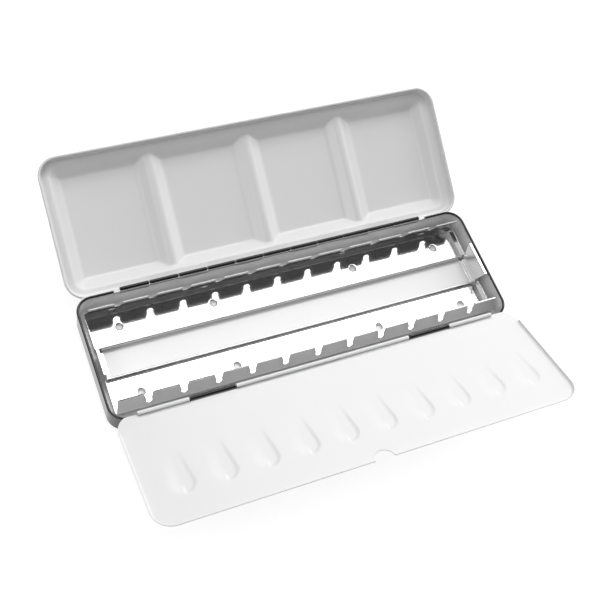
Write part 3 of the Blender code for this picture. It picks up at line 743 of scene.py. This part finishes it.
def make_flap():
    s, d = sizes("base"), sizes("flap")
    half = s.base_length / 2 - d.room - d.flange
    far = d.flange - d.reach
    top = s.sheet - s.knuckle
    width = d.scoop_width / 2
    places = [(i - (d.scoops - 1) / 2) * d.scoop_pitch for i in range(d.scoops)]

    def height(x, y):
        v = -y
        if not d.scoop_near < v < d.scoop_far:
            return top
        u = min((x - p for p in places), key=abs)
        share = (v - d.scoop_near) / (d.scoop_far - d.scoop_near)
        reach = width * (0.72 + 0.28 * min(1, share * 1.4))
        centre = d.scoop_far - width
        edge = sqrt(u * u + (v - centre) ** 2) - width if v > centre else abs(u) - reach
        if edge >= 0:
            return top
        inside = min(1, -edge / (1.8 * MM if u > 0 else d.scoop_width / 2))
        wall = inside * inside * (3 - 2 * inside)
        return top - d.scoop_depth * share * wall

    side = spread((0, 0.6 * MM), (half - 0.01 * MM, 1 * MM), (half, 1 * MM))
    columns = [-x for x in side[:0:-1]] + side
    rows = spread((far + d.corner, 2 * MM), (-d.scoop_far - 1 * MM, 0.55 * MM),
                  (-d.scoop_near + 1 * MM, 3 * MM), (-d.corner, 3 * MM))
    r = d.flange
    rings = [(r * sin(a), r * (1 - cos(a))) for a in (pi / 2 * i / 8 for i in range(1, 9))]
    mesh = pressed_sheet(half, far, 0, d.corner, columns, rows, height, rings,
                         keep=88 * MM, steps=10)
    flap = mesh_object("mixing_leaf", mesh, [white_enamel()])
    solid_sheet(flap, s.sheet, -1, 0)
    long = half + 5 * MM
    cut(flap, box_mesh((-long, -d.flange_start, top + 0.02 * MM), (long, 5 * MM, 5 * MM)))
    cut(flap, box_mesh((-long, 0, -5 * MM), (long, 5 * MM, 5 * MM)))
    gap = s.knuckle_gap / 2
    for side in (-1, 1):
        low, high = sorted((side * (s.front_inner - gap), side * (s.front_outer + gap)))
        cut(flap, box_mesh((low, -s.knuckle - 0.3 * MM, -3 * MM), (high, 2 * MM, 3 * MM)))
    centre = d.notch_depth - d.notch - d.reach
    outline = [(d.notch, -d.reach - 3 * MM)] + arc((0, centre), d.notch, 0, pi, 40)
    outline += [(-d.notch, -d.reach - 3 * MM)]
    notch = prism(outline, -4 * MM, 4 * MM)
    notch.transform(Matrix(((0, 1, 0, 0), (0, 0, 1, 0), (1, 0, 0, 0), (0, 0, 0, 1))))
    cut(flap, notch)
    flap.data.transform(Matrix.Translation(front_axis()) @ FLAP_TURN)
    smooth(flap)
    settle(flap, "flap", "mixing_flap")


# Pan tray

# Places of the floor's holes from the tray's middle, in millimetres

HOLE_COLUMNS = (-82.5, -36.7, 36.7, 82.5)
HOLE_ROWS = (-17.05, 17.05)


def make_tray():
    s, d = sizes("base"), sizes("tray")
    half_length = s.base_length / 2 - d.end_room
    top_z = s.sheet + d.stand
    mid_z = top_z - s.sheet / 2
    inner = d.channel + s.sheet / 2
    outer = inner + d.hem - s.sheet
    hem_top = top_z + d.hem_height - s.sheet / 2
    r = (outer - inner) / 2
    line = [Vector((inner, s.sheet + 0.3 * MM))]
    line += [Vector(p) for p in arc(((inner + outer) / 2, hem_top - r), r, pi, 0, 14)]
    bends = [(outer, hem_top - r), (outer, mid_z), (d.foot, mid_z),
             (d.crease, top_z + d.crease_height), (d.tab_top, top_z + d.tab_height),
             (d.tab_top + d.tab_lip, top_z + d.tab_height + d.tab_lip * sin(radians(16)))]
    line += rounded_line(bends, [0.5 * MM, 0.5 * MM, 0.8 * MM, 0.25 * MM])[1:]
    trough = prism(sheet_outline(line, s.sheet), -half_length, half_length)
    tray = mesh_object("spring_tray", gather([trough, moved(trough, Matrix.Rotation(pi, 4, "Z"))]),
                       [bright_tin()])
    slope = Vector((d.tab_top - d.crease, d.tab_height - d.crease_height))
    reach = slope.length
    slope.normalize()
    lean = Matrix(((1, 0, 0, 0), (0, slope.x, -slope.y, d.crease),
                   (0, slope.y, slope.x, top_z + d.crease_height), (0, 0, 0, 1)))
    flat = Matrix(((0, 1, 0, 0), (0, 0, 1, 0), (1, 0, 0, 0), (0, 0, 0, 1)))
    neck, wide, bulb = d.slot_neck / 2, d.slot_top / 2, d.slot_bulb
    flare = (wide - neck) / (reach - d.bulb_rise - bulb)
    start = atan2(sqrt(bulb * bulb - neck * neck), neck)
    keyhole = arc((0, d.bulb_rise), bulb, start, -pi - start, 24)
    top = reach + 2 * MM
    keyhole += [(-wide - flare * 2 * MM, top), (wide + flare * 2 * MM, top)]
    slot = moved(moved(prism(keyhole, -2 * MM, 2 * MM), flat), lean)
    first = -(d.slots - 1) / 2 * d.slot_pitch
    slots = in_a_row(slot, "tab_slots", bright_tin(), d.slots, (first, 0, 0), (d.slot_pitch, 0, 0))
    ends = []
    for side in (-1, 1):
        outline = [(side * half_length, 0), (side * (half_length + 3 * MM), 0),
                   (side * (half_length + 3 * MM), top), (side * (half_length - 1.4 * MM), top)]
        ends.append(moved(moved(prism(outline, -2 * MM, 2 * MM), flat), lean))
    rear = gather([slots] + ends)
    cut(tray, gather([rear, moved(rear, Matrix.Rotation(pi, 4, "Z"))]))
    places = [(x * MM, y * MM) for x in HOLE_COLUMNS for y in HOLE_ROWS]
    drill = gather([loft([circle(x, y, d.dimple, z) for z in (0, 2 * top_z)], [0, 0, 0])
                    for x, y in places])
    cut(tray, drill)
    bevel(tray, 0.07 * MM)
    cups = mesh_object("tray_hole_cups", gather([hole_cup(x, y, top_z, d, s) for x, y in places]),
                       [bright_tin()])
    walls = []
    for side in (-1, 1):
        middle = side * half_length
        for low, high in ((outer, d.foot), (-d.foot, -outer)):
            walls.append(box_mesh((middle - s.sheet / 2, low, mid_z - s.sheet / 2),
                                  (middle + s.sheet / 2, high, top_z + d.end_height)))
    end_walls = mesh_object("tray_end_walls", gather(walls), [bright_tin()])
    bevel(end_walls, 0.1 * MM)
    foot, top = half_length - d.lug_inset, half_length - 0.2 * MM
    bottom = s.sheet + 0.5 * MM
    line = rounded_line([(foot - 2 * MM, bottom), (foot, bottom), (foot, 4 * MM), (top, d.lug_top),
                         (top + d.lug_lip, d.lug_top + 0.1 * MM)],
                        [0.4 * MM, 0.6 * MM, 0.35 * MM], 6)
    rows = []
    for u, v in line:
        share = min(max((v - 4 * MM) / (7.5 * MM), 0), 1)
        rows.append((u, v, d.channel - 0.3 * MM + share * (d.lug_half - d.channel + 0.3 * MM)))
    vertices = [(u, y, v) for u, v, half in rows for y in (-half, half)]
    faces = [(2 * i, 2 * i + 1, 2 * i + 3, 2 * i + 2) for i in range(len(rows) - 1)]
    lug = from_faces(vertices, faces)
    lugs = mesh_object("tray_end_lugs", gather([lug, moved(lug, Matrix.Rotation(pi, 4, "Z"))]),
                       [bright_tin()])
    solid_sheet(lugs, s.sheet, 0, 0)
    bevel(lugs, 0.1 * MM)
    for thing in (tray, cups, end_walls, lugs):
        thing.data.transform(Matrix.Translation((d.right, d.back, 0)))
        smooth(thing, 30)
    settle(tray, "base", "pan_tray")
    for thing in (cups, end_walls, lugs):
        settle(thing, "base")


def hole_cup(x, y, top_z, d, s):
    """The pressed-down edge of a hole, as a ring of sheet turned about the hole's middle."""
    wide = d.dimple - 0.01 * MM
    deep = top_z - s.sheet - 0.15 * MM
    step = wide - d.hole
    line = [(wide, top_z)] + [(wide - step * sin(a), top_z - 0.6 * MM * (1 - cos(a)))
                              for a in (pi / 2 * i / 10 for i in range(1, 11))]
    line += [(d.hole, top_z - deep), (d.hole + 0.25 * MM, top_z - deep), (wide, top_z - 0.4 * MM)]
    rings = [circle(x, y, r, z) for r, z in line]
    vertices = [p for ring in rings for p in ring]
    n, m = len(rings[0]), len(rings)
    faces = [(k * n + j, k * n + (j + 1) % n, (k + 1) % m * n + (j + 1) % n, (k + 1) % m * n + j)
             for k in range(m) for j in range(n)]
    return from_faces(vertices, faces)


# Stage

CAMERA_PLACE = (-0.15592, -0.18831, 0.42664)
CAMERA_TURN = (28.8267, -10.8147, -21.5423)
CAMERA_LENS = 59.95


def lamp(name, place, aim, size, brightness):
    """A rectangular softbox; its brightness is that of its face, with white paper as one."""
    light = bpy.data.lights.new(name, "AREA")
    light.shape = "RECTANGLE"
    light.size, light.size_y = size
    light.energy = brightness * pi * size[0] * size[1]
    thing = bpy.data.objects.new(name, light)
    thing.location = place
    thing.rotation_euler = (Vector(aim) - Vector(place)).to_track_quat("-Z", "Y").to_euler()
    bpy.context.scene.collection.objects.link(thing)


def make_stage():
    scene = bpy.context.scene
    scene.view_settings.view_transform = "Standard"
    camera = bpy.data.objects.new("camera", bpy.data.cameras.new("camera"))
    camera.location = CAMERA_PLACE
    camera.rotation_euler = [radians(a) for a in CAMERA_TURN]
    camera.data.lens = CAMERA_LENS
    camera.data.sensor_width = 36
    camera.data.clip_start = 0.01
    scene.collection.objects.link(camera)
    scene.camera = camera
    # The camera sees white past the floor, and the box the dim room round the lamps
    world = bpy.data.worlds.new("studio")
    world.use_nodes = True
    path = add_node(world.node_tree, "ShaderNodeLightPath")
    room = add_node(world.node_tree, "ShaderNodeMix", {"data_type": "RGBA"},
                    {0: path.outputs["Is Camera Ray"], 6: (0.06, 0.06, 0.06, 1), 7: (1, 1, 1, 1)})
    world.node_tree.links.new(room.outputs[2], world.node_tree.nodes["Background"].inputs["Color"])
    scene.world = world
    z = cad_box[0].z - 0.1 * MM
    floor = mesh_object("studio_floor", from_faces([(-3, -3, z), (3, -3, z), (3, 3, z), (-3, 3, z)],
                                                   [(0, 1, 2, 3)]), [matt_paper()])
    lamp("key_softbox", (0.43, 0.7, 1.5), (0.43, 0.7, 0), (0.98, 0.62), 5)
    lamp("top_softbox", (0, 0.5, 1.5), (0, 0.5, 0), (3.6, 1.8), 0.8)
    lamp("right_rear_softbox", (1.56, 0.9, 0.93), (0, 0, 0.8), (4.2, 1.65), 2)
    lamp("left_softbox", (-1.8, 0.3, 0.93), (0, 0, 0.8), (3, 1.65), 0.2)
    lamp("front_left_softbox", (-1.7, -1.2, 1.9), (0, 0, 0), (1.4, 0.9), 2.8)


# Add-on

def piece_operator(idname, label, text, make):
    """An operator that makes one group of pieces; an error in it stops the script."""
    def execute(self, context):
        make()
        return {"FINISHED"}

    name = "BOX_OT_" + idname.split(".")[1]
    return type(name, (bpy.types.Operator,),
                {"__doc__": text, "bl_idname": idname, "bl_label": label, "execute": execute})


OPERATORS = (
    piece_operator("box.base", "Base", "Make the pressed base with its beaded rim", make_base),
    piece_operator("box.hinges", "Hinges", "Make the rolled knuckles of both hinges", make_hinges),
    piece_operator("box.wires", "Wires", "Finish the two hinge wires", make_wires),
    piece_operator("box.lid", "Lid", "Make the lid with its four sunk wells", make_lid),
    piece_operator("box.flap", "Flap", "Make the mixing flap with its scoops", make_flap),
    piece_operator("box.tray", "Tray", "Make the sprung pan tray", make_tray),
    piece_operator("box.stage", "Stage", "Make the floor, lamps, world and camera", make_stage),
)


class BOX_PT_panel(bpy.types.Panel):
    """Lists the box's operators."""
    bl_idname = "BOX_PT_panel"
    bl_label = "Watercolour box"
    bl_space_type = "VIEW_3D"
    bl_region_type = "UI"
    bl_category = "Watercolour box"

    def draw(self, context):
        for operator in OPERATORS:
            self.layout.operator(operator.bl_idname)


GROUPS = {"base": BoxSizes, "lid": LidSizes, "flap": FlapSizes, "tray": TraySizes, "looks": Looks}


def register():
    for thing in (*GROUPS.values(), *OPERATORS, BOX_PT_panel):
        bpy.utils.register_class(thing)
    for name, group in GROUPS.items():
        setattr(bpy.types.Scene, "box_" + name, PointerProperty(type=group))


def unregister():
    for name in GROUPS:
        delattr(bpy.types.Scene, "box_" + name)
    for thing in (BOX_PT_panel, *OPERATORS, *GROUPS.values()):
        bpy.utils.unregister_class(thing)


def main():
    register()
    bpy.ops.box.base()
    bpy.ops.box.hinges()
    bpy.ops.box.wires()
    bpy.ops.box.lid()
    bpy.ops.box.flap()
    bpy.ops.box.tray()
    bpy.ops.box.stage()


if __name__ == "__main__":
    main()
